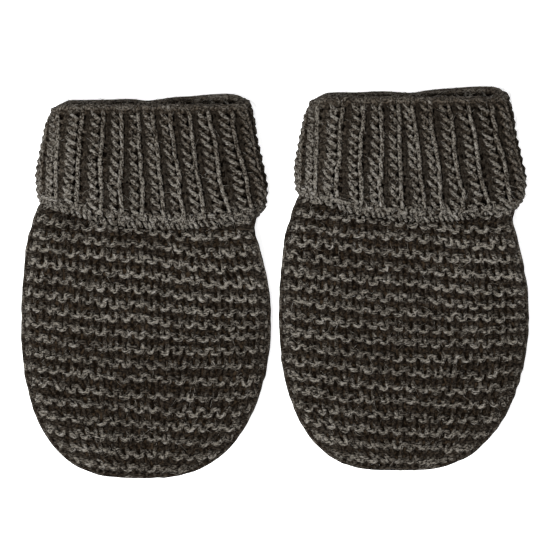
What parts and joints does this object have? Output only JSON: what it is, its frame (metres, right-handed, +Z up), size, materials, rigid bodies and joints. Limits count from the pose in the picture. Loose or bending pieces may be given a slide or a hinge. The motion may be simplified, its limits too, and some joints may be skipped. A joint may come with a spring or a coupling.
{
  "type": "pair of baby mittens",
  "caption": "Thumbless hand-knitted baby mittens lying flat side by side: garter stitch hand parts with rounded tips and ribbed cuffs turned up at the wrist.",
  "frame": {"origin": "centre of the pair's box in plan, on the surface that the mittens lie on", "axes": "+Z up, out of the surface; +Y from the rounded tips towards the cuffs; +X from the left mitten to the right one, as seen from above with the cuffs up"},
  "size_m": [0.1524, 0.1168, 0.0154],
  "materials": {
    "garter_knit": "dark heathered brown-grey wool yarn, garter stitch, matt with a soft halo",
    "rib_knit": "the same yarn in 1x1 rib, matt with a soft halo"
  },
  "bodies": {
    "root": {"left_front": "garter_knit", "left_back": "garter_knit", "left_cuff": "rib_knit", "right_front": "garter_knit", "right_back": "garter_knit", "right_cuff": "rib_knit"}
  },
  "joints": []
}
